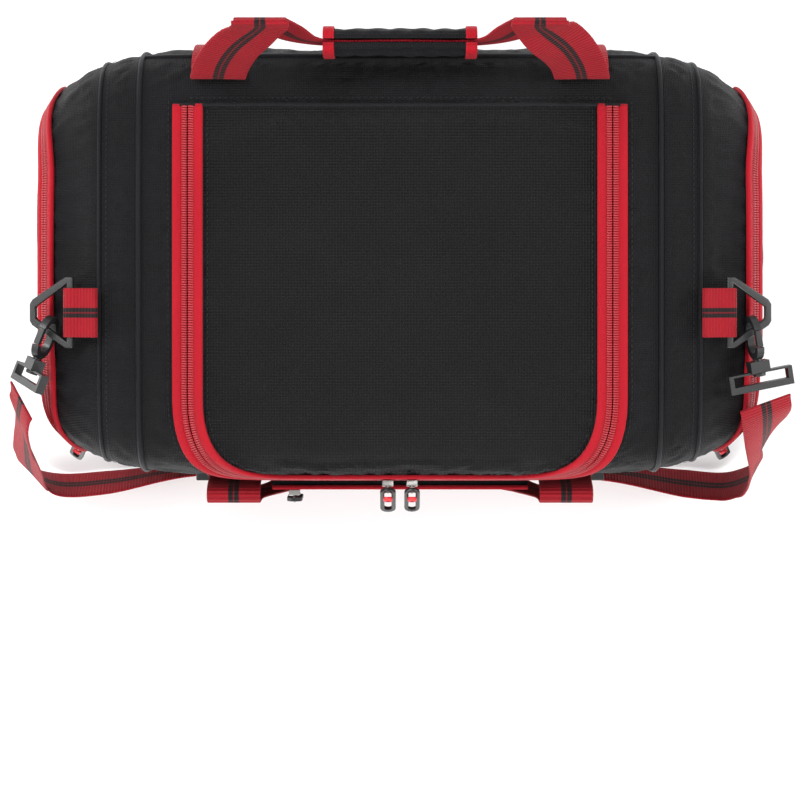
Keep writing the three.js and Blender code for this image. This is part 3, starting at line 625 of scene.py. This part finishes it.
def soften(node, name, material, body, slot, longest=0.0046):
    """The CAD panel with its outer face split finely and let out like cloth; its cut edges stay in place."""
    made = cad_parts[node].copy()
    made.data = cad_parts[node].data.copy()
    made.name = name
    made.parent = None
    made.matrix_world = Matrix.Identity(4)
    bpy.context.collection.objects.link(made)
    made.data.materials.clear()
    made.data.materials.append(material)
    made.data.materials.append(lining_mat)
    mesh = bmesh.new()
    mesh.from_mesh(made.data)
    bmesh.ops.remove_doubles(mesh, verts=mesh.verts, dist=1e-5)
    bmesh.ops.triangulate(mesh, faces=mesh.faces)
    for _ in range(9):
        long_edges = [e for e in mesh.edges if e.calc_length() > longest]
        if not long_edges:
            break
        bmesh.ops.subdivide_edges(mesh, edges=long_edges, cuts=1)
        bmesh.ops.triangulate(mesh, faces=mesh.faces)
    mesh.normal_update()
    verts = list(mesh.verts)
    co = np.array([v.co for v in verts])
    centre = np.array([0, 0, 0.19])
    upper = body != "base"
    if upper:
        target = to_skin(centre + 0 * co, co - centre)
    else:
        flat = co * [1, 1, 0]
        target = to_skin([0, 0, 0.05] + 0 * co, flat)
        target[:, 2] = co[:, 2]
    away = np.linalg.norm(target - co, axis=1)
    normals = skin_normal(target)
    lean = np.array([v.normal for v in verts])
    outer = (away < 0.009) & (np.sum(lean * normals, 1) > 0.35)
    if not upper:
        outer &= (co[:, 2] > 0.0105) & (np.abs(lean[:, 2]) < 0.6)
    for vertex, goal, normal, is_outer in zip(verts, target, normals, outer):
        if is_outer:
            vertex.co = Vector(goal + normal * crumple(goal, normal))
    for face in mesh.faces:
        face.material_index = 0 if any(outer[v.index] for v in face.verts) else 1
    mesh.to_mesh(made.data)
    mesh.free()
    for polygon in made.data.polygons:
        polygon.use_smooth = True
    made.data.set_sharp_from_angle(angle=math.radians(50))
    return place(made, body, node, slot=slot)


soften("main_shell", "upper_cloth", body_cloth_mat, "upper", "fabric")
soften("lid", "lid_cloth", lid_cloth_mat, "lid", "fabric")
soften("base_tray", "tray_cloth", body_cloth_mat, "base", "fabric")
for label, side in SIDES:
    soften(f"end_flap_{label}", f"end_flap_cloth_{label}", end_cloth_mat, f"end_{label}_flap", "end_fabric")

# ---------- Zips ----------
TAPE_PROFILE = [(0.0006, -0.0012), (0.0006, 0.0008), (0.0052, 0.0010), (0.0056, 0.0016), (0.0098, 0.0017),
                (0.0105, 0.0011), (0.0105, -0.0012)]


def tooth_row(name, path, normals, side, material, pitch=0.0017):
    """One side of a coil zip: small rounded loops in a row."""
    path = np.asarray(path)
    run = np.concatenate([[0], np.cumsum(np.linalg.norm(np.diff(path, axis=0), axis=1))])
    at = np.arange(pitch, run[-1] - pitch, pitch)
    spots = np.stack([np.interp(at, run, path[:, k]) for k in range(3)], 1)
    ups = np.stack([np.interp(at, run, normals[:, k]) for k in range(3)], 1)
    travel = np.gradient(spots, axis=0)
    travel /= np.linalg.norm(travel, axis=1, keepdims=True)
    across = np.cross(ups, travel)
    across /= np.linalg.norm(across, axis=1, keepdims=True)
    shape = []
    for a, lift in ((0.0003, 0.0012), (0.0010, 0.0019), (0.0032, 0.0019), (0.0042, 0.0012)):
        for t, drop in ((-0.00062, 0.0005), (-0.0002, 0.0), (0.0002, 0.0), (0.00062, 0.0005)):
            shape.append((a, t, lift - drop))
    quads = [(4 * i + j, 4 * i + j + 1, 4 * i + j + 5, 4 * i + j + 4) for i in range(3) for j in range(3)]
    if side < 0:
        quads = [q[::-1] for q in quads]
    vertices, faces = [], []
    for spot, up, way, out in zip(spots, ups, travel, across):
        start = len(vertices)
        vertices += [spot + out * side * a + way * t + up * h for a, t, h in shape]
        faces += [tuple(start + k for k in q) for q in quads]
    return new_mesh(name, vertices, faces, material)


def zip_half(name, path, side, body, node=None, teeth=True):
    """Tape and coil on one side of a seam; side is +1 on the left of travel."""
    path = np.asarray(path)
    normals = skin_normal(path)
    path = path + normals * 0.0009
    profile = [(side * a, b) for a, b in TAPE_PROFILE]
    if side > 0:
        profile = profile[::-1]
    tape = sweep(name, path, normals, profile, tape_mat)
    place(tape, body, *([node] if node else []), slot="zip_tape")
    if teeth:
        row = tooth_row(f"{name}_coil", path, normals, side, coil_mat)
        place(row, body, slot="zip_tape")


lid_line = lid_seam()
zip_half("lid_tape_inner", lid_line, 1, "lid", "lid_zip_tape")
zip_half("lid_tape_outer", lid_line, -1, "upper", "shell_zip_tape")
shoe_line = tray_seam()
zip_half("shoe_tape_upper", shoe_line, 1, "upper", "body_zip_tape")
zip_half("shoe_tape_lower", shoe_line, -1, "base", "base_zip_tape")
for label, side in SIDES:
    line = arch_seam(side)
    zip_half(f"end_tape_outer_{label}", line, 1 if side > 0 else -1, "upper", f"end_zip_{label}")
    zip_half(f"end_tape_inner_{label}", line, -1 if side > 0 else 1, f"end_{label}_flap")

# ---------- Seam cords, fells and stitches ----------


def on_cloth(path, above):
    normals = skin_normal(path)
    rise = np.array([crumple(p, n) for p, n in zip(path, normals)])
    return path + normals * (rise + above)[:, None], normals


def seam_cord(name, path, body, radius=0.0017, above=0.0008):
    line, normals = on_cloth(path, above)
    made = sweep(name, line, normals, round_profile(radius), piping_mat)
    return place(made, body, slot="fabric")


STITCH_FORM = ((-0.5, 0, 0), (-0.3, 0.4, 0.2), (-0.3, -0.4, 0.2), (0.3, 0.4, 0.2), (0.3, -0.4, 0.2),
               (0.5, 0, 0), (0, 0, 0.5))


def stitches(name, path, offset, body, length=0.0026, gap_length=0.0014, material=None):
    """A row of short raised threads beside a seam."""
    line, normals = on_cloth(resample(path, length + gap_length), 0.0003)
    travel = np.gradient(line, axis=0)
    travel /= np.linalg.norm(travel, axis=1, keepdims=True)
    across = np.cross(normals, travel)
    vertices, faces = [], []
    for p, n, t, a in zip(line, normals, travel, across):
        base = len(vertices)
        middle = p + a * offset
        for along, side, lift in STITCH_FORM:
            vertices.append(middle + t * along * length + a * side * 0.0009 + n * lift * 0.0009)
        for q in ((0, 1, 6), (0, 6, 2), (1, 3, 6), (2, 6, 4), (3, 5, 6), (4, 6, 5)):
            faces.append(tuple(base + k for k in q))
    return place(new_mesh(name, vertices, faces, material or thread_mat), body, slot="fabric")


for label, side in SIDES:
    seam_cord(f"panel_piping_{label}", cross_seam(side * PIPING_X), "upper")
    seam_cord(f"gusset_piping_{label}", cross_seam(side * FELL_X), "upper", 0.0013, 0.0005)
    stitches(f"gusset_stitch_{label}", cross_seam(side * (FELL_X - 0.005)), 0, "upper")
seam_cord("hinge_welt", yoke[np.abs(yoke[:, 0]) < LID_HALF + 0.012], "upper", 0.0016, 0.0009)
seam_cord("yoke_welt", rear_yoke, "upper", 0.0014, 0.0004)
stitches("hinge_stitch", yoke[np.abs(yoke[:, 0]) < LID_HALF], 0.005, "upper")
for name, grow, body in (("lid_edge_stitch", -0.0135, "lid"), ("shell_edge_stitch", 0.0135, "upper")):
    stitches(name, lid_seam(grow, step=0.003), 0, body)
for name, z, body in (("tray_stitch", SEAM_Z - 0.0135, "base"), ("skirt_stitch", SEAM_Z + 0.0135, "upper")):
    stitches(name, tray_seam(z, step=0.003), 0, body)
back_x = np.linspace(0.17, -0.17, 90)
back_seam = to_skin(np.stack([back_x, 0 * back_x, 0 * back_x + SEAM_Z], 1), [0, 1, 0])
seam_cord("back_hinge_binding", back_seam, "upper", 0.0030, 0.0012)
tray_foot = tray_seam(0.012, back_x=0.0, step=0.003)
seam_cord("tray_foot_piping", tray_foot, "base", 0.0018, 0.0)
for label, side in SIDES:
    end_x = np.linspace(-0.118, 0.106, 70)
    foot = to_skin(np.stack([0 * end_x, end_x, 0 * end_x + 0.1265], 1), [side, 0, 0])
    seam_cord(f"end_foot_welt_{label}", foot, "upper", 0.0016, 0.0006)

# ---------- Inner boards and pocket liners ----------
dress("base_board", "base", lining_mat, "stiffener", 0.0006)
dress("divider_floor", "upper", lining_mat, "stiffener", 0.0006)
for label, side in SIDES:
    dress(f"end_pocket_liner_{label}", "upper", lining_mat, "end_fabric", 0.0004)

# ---------- Front pocket ----------


def pocket_cloth():
    low, high = (np.array(v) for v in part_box("front_pocket"))
    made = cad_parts["front_pocket"].copy()
    made.data = made.data.copy()
    made.name = "front_pocket_cloth"
    made.parent = None
    made.matrix_world = Matrix.Identity(4)
    bpy.context.collection.objects.link(made)
    made.data.materials.clear()
    made.data.materials.append(body_cloth_mat)
    mesh = bmesh.new()
    mesh.from_mesh(made.data)
    bmesh.ops.remove_doubles(mesh, verts=mesh.verts, dist=1e-5)
    for _ in range(6):
        long_edges = [e for e in mesh.edges if e.calc_length() > 0.006]
        bmesh.ops.subdivide_edges(mesh, edges=long_edges, cuts=1)
        bmesh.ops.triangulate(mesh, faces=mesh.faces)
    for v in mesh.verts:
        inset = min(v.co.x - low[0], high[0] - v.co.x, v.co.z - low[2], high[2] - 0.012 - v.co.z)
        free = min(1.0, max(0.0, inset / 0.022))
        if v.co.y < low[1] + 0.012 and free > 0:
            v.co.y += 0.0022 * free * noise.fractal(v.co * 16.0, 0.8, 2.1, 3) + 0.0012 * free
    mesh.to_mesh(made.data)
    mesh.free()
    for polygon in made.data.polygons:
        polygon.use_smooth = True
    made.data.set_sharp_from_angle(angle=math.radians(40))
    return place(made, "upper", "front_pocket", slot="fabric")


pocket_cloth()
zip_low, zip_high = (np.array(v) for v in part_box("front_pocket_zip"))
zip_mid = (zip_low[2] + zip_high[2]) / 2 + 0.001
pocket_xs = np.linspace(zip_low[0], zip_high[0], 110)
pocket_line = np.stack([pocket_xs, 0 * pocket_xs + zip_high[1], 0 * pocket_xs + zip_mid], 1)
front = np.tile([0.0, -1.0, 0.0], (len(pocket_xs), 1))
for sign in (-1, 1):
    half_tape = [(sign * a * 0.52, b) for a, b in TAPE_PROFILE]
    tape = sweep(f"pocket_tape_{'low' if sign < 0 else 'high'}", pocket_line, front,
                 half_tape[::-1] if sign > 0 else half_tape, tape_mat)
    place(tape, "upper", *(["front_pocket_zip"] if sign < 0 else []), slot="zip_tape")
    place(tooth_row(f"pocket_coil_{sign}", pocket_line, front, sign, coil_mat), "upper", slot="zip_tape")

# ---------- Webbing down the front and back ----------
STRAP_X = 118
BUCKLE_X = 134


def face_y(x, z):
    """The bag's front at one place, in millimetres, with room for the cloth under a strap."""
    return float(to_skin([[x * MM, 0, z * MM]], [0, -1, 0])[0][1]) * 1000 - 1.9


for label, side in SIDES:
    rows = []
    for z in (134, 155, 180, 205, 228, 250):
        x = side * (BUCKLE_X + (STRAP_X - BUCKLE_X) * (z - 134) / 116)
        rows.append([x, face_y(x, z), z, 1, 0, 0])
    x = side * STRAP_X
    rows += [[x, -157.0, 264, 1, 0, 0], [x, -160.2, 273.2, 1, 0, 0], [x, -164.0, 276.0, 1, 0, 0],
             [x, -167.4, 275.2, 1, 0, 0]]
    made, _ = band(f"front_webbing_{label}", rows)
    place(made, "upper", f"front_strap_{label}", slot="webbing")
    x = side * BUCKLE_X
    made, _ = band(f"lower_webbing_{label}", [[x, face_y(x, z) + 0.4, z, 1, 0, 0] for z in (13, 30, 60, 90)])
    place(made, "base", f"lower_strap_{label}", slot="webbing")
    tray_face = face_y(x, 60)
    tail = [
        [x + side * 1, tray_face - 7.5, 74, 1, 0, 0], [x + side * 1, tray_face - 8.5, 66, 1, 0, 0],
        [x + side * 1.5, tray_face - 6.5, 54, 1, 0.02, 0], [x + side * 2, tray_face - 5.4, 38, 1, -0.04, 0],
    ]
    made, _ = band(f"strap_tail_{label}", tail)
    place(made, f"buckle_{label}", slot="webbing")

    x = side * (STRAP_X + 7)
    rear = [to_skin([[x * MM, 0, z * MM]], [0, 1, 0])[0] for z in (122, 170, 215, 250)]
    for angle in (0.9, 0.97, 1.03, 1.08, 1.125):
        rear.append(to_skin([[x * MM, 0.05, 0.15]], [0, math.cos(angle), math.sin(angle)])[0])
    rear = np.array(rear)
    line = rear + skin_normal(rear) * 0.0022
    made, _ = band(f"rear_webbing_{label}", [[*(p / MM), 1, 0, 0] for p in line])
    place(made, "upper", f"rear_strap_{label}", slot="webbing")

# ---------- Front handle: one length of webbing that bends at its roots ----------
HANDLE_Y = -170.5


def hanging(x, z, tilt):
    t = min(1.0, max(0.0, (z - 75) / 55))
    y = HANDLE_Y + 9.5 * (1 - t * t * (3 - 2 * t))
    return [x, y, z, math.cos(tilt), 0, math.sin(tilt)]


half = [
    [-STRAP_X, -167.6, 275.0, 1, 0, 0], [-STRAP_X, -169.8, 272.6, 1, 0, 0], hanging(-STRAP_X, 267.0, 0),
    hanging(-STRAP_X + 1, 229.5, 0.1), hanging(-103, 179.5, 0.3),
    hanging(-85, 124.5, 0.42), hanging(-66, 79.5, 0.75), hanging(-45, 60.5, 1.25),
]
handle, _ = band("front_handle_webbing", [*half, hanging(0, 55.5, math.pi / 2), *mirrored(half)])
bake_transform(handle)
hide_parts("front_handle")

# ---------- Rear handle: legs, fold, and the part that runs through the grip ----------
GRIP_Y = 150
GRIP_Z = 340
for label, side in SIDES:
    x = side * (STRAP_X + 7)
    root = [
        [x, 131.5, 325.8, 1, 0, 0], [x, 127.5, 329.4, 1, 0, 0], [x, 126.4, 333.0, 1, 0, 0],
        [side * 121, 134, 351, 1, 0, -side * 0.1], [side * 111, 144, 374, 1, 0.1, -side * 0.25],
        [side * 98, 152, 392, 1, 0.1, -side * 0.2], [side * 92.5, 155, 404, 1, 0, 0],
        [side * 92, 156.4, 411.0, 1, 0, 0], [side * 92, 158, 412.6, 1, 0, 0],
    ]
    leg, _ = band(f"rear_leg_webbing_{label}", root)
    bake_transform(leg)
    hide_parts(f"rear_leg_{label}")
bight = [
    [-92, 157.8, 412.6, 1, 0, 0], [-92, 159.6, 410.5, 1, 0, 0], [-91.5, 160, 398, 1, 0, 0],
    [-81, 157, 371, 0.9, 0, 0.45], [-68, 152, 350, 0.5, 0, 0.85], [-51, 150, 341, 0.1, 0, 1],
]
made, _ = band("rear_bight_webbing", [*bight, [0, 150, 340, 0, 0, 1], *mirrored(bight)], width=WEB - 0.003)
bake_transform(made)
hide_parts("rear_bight")


def grip_half(node, body, side):
    """Half of the wrap: a quilted pad with a red binding along its edges."""
    low, high = (np.array(v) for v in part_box(node))
    length = high[0] - low[0]
    xs = np.linspace(low[0], high[0], 90)
    inner = side * 0.0014
    ring = []
    for angle in np.linspace(-math.pi / 2, math.pi / 2, 26):
        out = abs(math.cos(angle)) ** 0.55
        ring.append((out, math.copysign(abs(math.sin(angle)) ** 0.75, angle)))
    depth = max(abs(low[1] - GRIP_Y * MM), abs(high[1] - GRIP_Y * MM))
    tall = (high[2] - low[2]) / 2
    vertices, faces = [], []
    count = len(ring)
    for i, x in enumerate(xs):
        t = (x - low[0]) / length
        end = min(t, 1 - t) * length
        puff = min(1.0, end / 0.007) ** 0.5
        for out, up in ring:
            wob = noise.fractal(Vector((x * 34, out * 0.5 + side, up * 0.9)), 0.9, 2.0, 3)
            crease = 0.0008 * wob + 0.0004 * math.sin(x * 420 + 3 * up)
            reach = (depth - 0.0012) * (0.80 + 0.20 * puff) + crease * puff
            y = GRIP_Y * MM + inner + side * out * (reach - abs(inner))
            vertices.append((x, y, GRIP_Z * MM + up * tall))
    for i in range(len(xs) - 1):
        for k in range(count - 1):
            face = (i * count + k, i * count + k + 1, (i + 1) * count + k + 1, (i + 1) * count + k)
            faces.append(face if side < 0 else face[::-1])
        back = (i * count, (i + 1) * count, (i + 1) * count + count - 1, i * count + count - 1)
        faces.append(back if side < 0 else back[::-1])
    first = tuple(range(count))
    last = tuple((len(xs) - 1) * count + k for k in range(count))
    faces += [first[::-1], last] if side < 0 else [first, last[::-1]]
    pad = new_mesh(f"{node}_cloth", vertices, faces, pad_mat)
    pad.data.set_sharp_from_angle(angle=math.radians(50))
    place(pad, body, node, slot="end_fabric")
    for end_side in (-1, 1):
        edge = (low[0] if end_side < 0 else high[0]) - end_side * 0.0035
        loop = []
        for out, up in ring:
            y = GRIP_Y * MM + side * (0.0012 + out * (depth - 0.0012))
            loop.append((edge, y, GRIP_Z * MM + up * (tall + 0.0002)))
        loop = np.array(loop)
        outward = loop - [edge, GRIP_Y * MM, GRIP_Z * MM]
        outward /= np.linalg.norm(outward, axis=1, keepdims=True)
        tape = sweep(f"{node}_band_{'left' if end_side < 0 else 'right'}", loop, outward,
                     flat_profile(0.0078, 0.0016), binding_mat)
        place(tape, body, slot="webbing")
    for edge_name, up in (("top", 1), ("bottom", -1)):
        edge_y = GRIP_Y * MM + side * 0.0030
        edge_z = GRIP_Z * MM + up * (tall - 0.0004)
        line = np.stack([xs, 0 * xs + edge_y, 0 * xs + edge_z], 1)
        edge_mat = binding_mat if up < 0 else pad_mat
        tape = sweep(f"{node}_binding_{edge_name}", line, [0, 0, up], flat_profile(0.0034, 0.0016), edge_mat)
        place(tape, body, slot="end_fabric")


grip_half("grip_pad", "rear_grip", -1)
grip_half("grip_flap", "grip_flap", 1)

# ---------- Sliders and pulls ----------


def rounded_slot(length, width, count=10):
    straight = (length - width) / 2
    turn = np.linspace(-math.pi / 2, math.pi / 2, count)
    right = np.stack([straight + width / 2 * np.cos(turn), width / 2 * np.sin(turn)], 1)
    return np.concatenate([right, -right])


def slider_and_pull(stem, along, hang, normal):
    """Adds a bridge over the slider, and the red liner inside the pull's loop."""
    dress(f"{stem}_slider", f"{stem}_slider", nickel_mat, "slider", 0.0007)
    dress(f"{stem}_pull", f"{stem}_pull", plastic_mat, "pull", 0.0010)
    low, high = (np.array(v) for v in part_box(f"{stem}_pull"))
    centre = (low + high) / 2
    along, hang, normal = (np.array(v, float) / np.linalg.norm(v) for v in (along, hang, normal))
    outline = np.array([centre + hang * a + along * b for a, b in rounded_slot(0.0262, 0.0042)])
    outline = np.concatenate([outline, outline[:1]])
    outline = resample(outline, 0.0008)
    section = [(-0.0011, -0.0013), (0.0009, -0.0013), (0.0009, 0.0013), (-0.0011, 0.0013)]
    liner = sweep(f"{stem}_pull_liner", outline, normal, section, liner_mat, cap=False)
    place(liner, f"{stem}_pull", slot="zip_tape")
    slider_low, slider_high = (np.array(v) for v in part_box(f"{stem}_slider"))
    middle = (slider_low + slider_high) / 2
    arch = []
    for t in np.linspace(0, math.pi, 14):
        arch.append(middle + hang * 0.0040 * math.cos(t) + normal * (0.0002 + 0.0042 * math.sin(t)))
    bridge = sweep(f"{stem}_bridge", np.array(arch), along, round_profile(0.0010, 8), nickel_mat)
    place(bridge, f"{stem}_slider", slot="slider")


lid_normal = skin_normal(to_skin([[0, 0, LID_FRONT_Z]], [0, -1, 0]))[0]
lid_hang = np.array([0, -lid_normal[2], lid_normal[1]])
lid_hang *= -np.sign(lid_hang[2])
for label, side in SIDES:
    slider_and_pull(f"lid_{label}", (1, 0, 0), lid_hang, lid_normal)
    slider_and_pull(f"shoe_{label}", (1, 0, 0), (0, 0, -1), (0, -1, 0))
    out = np.array([side * 0.570, -0.822, 0])
    slider_and_pull(f"end_{label}", (out[1], -out[0], 0), (0, 0, -1), out)
slider_and_pull("pocket", (1, 0, 0), (0, 0, -1), (0, -1, 0))

# ---------- Buckles, rings, hooks and tabs ----------
for label, side in SIDES:
    dress(f"buckle_socket_{label}", "upper", plastic_mat, "plastic", 0.0012, smooth=False)
    dress(f"buckle_plug_{label}", f"buckle_{label}", plastic_mat, "plastic", 0.0007, smooth=False)
    dress(f"ring_{label}", f"ring_{label}", plastic_mat, "plastic", 0.0009)
    dress(f"snap_hook_{label}", f"hook_{label}", plastic_mat, "plastic", 0.0010)
    dress(f"snap_gate_{label}", f"gate_{label}", plastic_mat, "plastic", 0.0005)
    dress(f"hook_bar_{label}", "upper", plastic_mat, "plastic", 0.0009)


def ring_tab(label, side):
    """Webbing folded round the ring's bar and sewn down on the bag."""
    seat = to_skin([[side * 0.219, -0.035, 0.15]], [0, 0, 1])[0]
    normal = skin_normal(seat)[0]
    normal[1] = 0
    normal /= np.linalg.norm(normal)
    slope = np.array([side * normal[2], 0, -abs(normal[0])])
    pivot = seat + normal * 0.0082 + slope * 0.006
    fold = [(-21, -1.4), (-9, -2.2), (-2, -3.9), (2.6, -3.4), (4.2, 0), (2.6, 3.4),
            (-2, 3.9), (-9, 1.6), (-21, 0.9)]
    stations = [[*((pivot + slope * u * MM + normal * w * MM) / MM), 0, 1, 0] for u, w in fold]
    made, _ = band(f"ring_tab_webbing_{label}", stations, width=0.034, thickness=0.0014, step=0.001)
    return place(made, "upper", f"ring_tab_{label}", slot="webbing")


for label, side in SIDES:
    ring_tab(label, side)

# ---------- Shoulder strap: a free length from hook to hook ----------
STRAP_ROUTE = [
    (-263, -96, 313, 0.5, -0.2, 0.85), (-266, -107, 302, 0.4, -0.5, 0.75), (-269, -120, 262, 0.35, -0.85, 0.35),
    (-277, -134, 190, 0.45, -0.88, 0.15), (-286, -150, 120, 0.6, -0.8, 0.1), (-293, -163, 62, 0.65, -0.65, 0.35),
    (-292, -173, 30, 0.5, -0.4, 0.75), (-275, -180, 20.5, 0.2, -0.4, 0.88), (-235, -178, 19.5, 0, -0.4, 0.9),
    (-170, -168, 20, 0, -0.2, 1), (-90, -167, 20.5, 0, -0.1, 1), (0, -167, 20.5, 0, -0.1, 1),
    (90, -167, 20.5, 0, -0.1, 1), (170, -170, 20.5, 0, -0.3, 0.95), (230, -179, 19.5, 0, -0.5, 0.85),
    (262, -181, 22, -0.2, -0.5, 0.8), (278, -174, 40, -0.45, -0.65, 0.55), (277, -162, 85, -0.35, -0.9, 0.2),
    (270, -148, 150, -0.3, -0.93, 0.1), (264, -134, 225, -0.5, -0.8, 0.15), (259, -118, 280, -0.8, -0.5, 0.2),
    (256, -106, 304, -0.95, -0.25, 0.25), (254, -98, 311, -0.96, -0.18, 0.23),
]
strap, strap_path = band("shoulder_strap_webbing", STRAP_ROUTE, step=0.004)
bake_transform(strap)
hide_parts("shoulder_strap")

# ---------- Studio ----------
floor_corners = [(-4, -4, -0.0002), (4, -4, -0.0002), (4, 4, -0.0002), (-4, 4, -0.0002)]
floor = new_mesh("floor", floor_corners, [(0, 1, 2, 3)], Shader("floor", (0.86, 0.86, 0.86), 0.7).material)


def area_light(name, place_at, aim, size, power, color=(1, 1, 1)):
    light = bpy.data.objects.new(name, bpy.data.lights.new(name, "AREA"))
    light.data.shape = "RECTANGLE"
    light.data.size, light.data.size_y = size
    light.data.energy = power
    light.data.color = color
    light.location = place_at
    light.rotation_euler = (Vector(aim) - Vector(place_at)).to_track_quat("-Z", "Y").to_euler()
    bpy.context.collection.objects.link(light)


area_light("key", (-1.1, 1.0, 1.9), (0, 0, 0.2), (1.2, 0.8), 42)
area_light("front", (0.3, -1.6, 1.5), (0, -0.1, 0.2), (1.8, 0.7), 30)
area_light("side", (1.6, 0.2, 1.0), (0.1, 0, 0.2), (0.6, 1.4), 20)
area_light("other_side", (-1.7, -0.3, 0.9), (-0.1, 0, 0.2), (0.5, 1.2), 12)
world = bpy.data.worlds.new("studio")
world.use_nodes = True
world.node_tree.nodes["Background"].inputs[0].default_value = (1, 1, 1, 1)
world.node_tree.nodes["Background"].inputs[1].default_value = 0.75
bpy.context.scene.world = world
bpy.context.scene.view_settings.view_transform = "Standard"
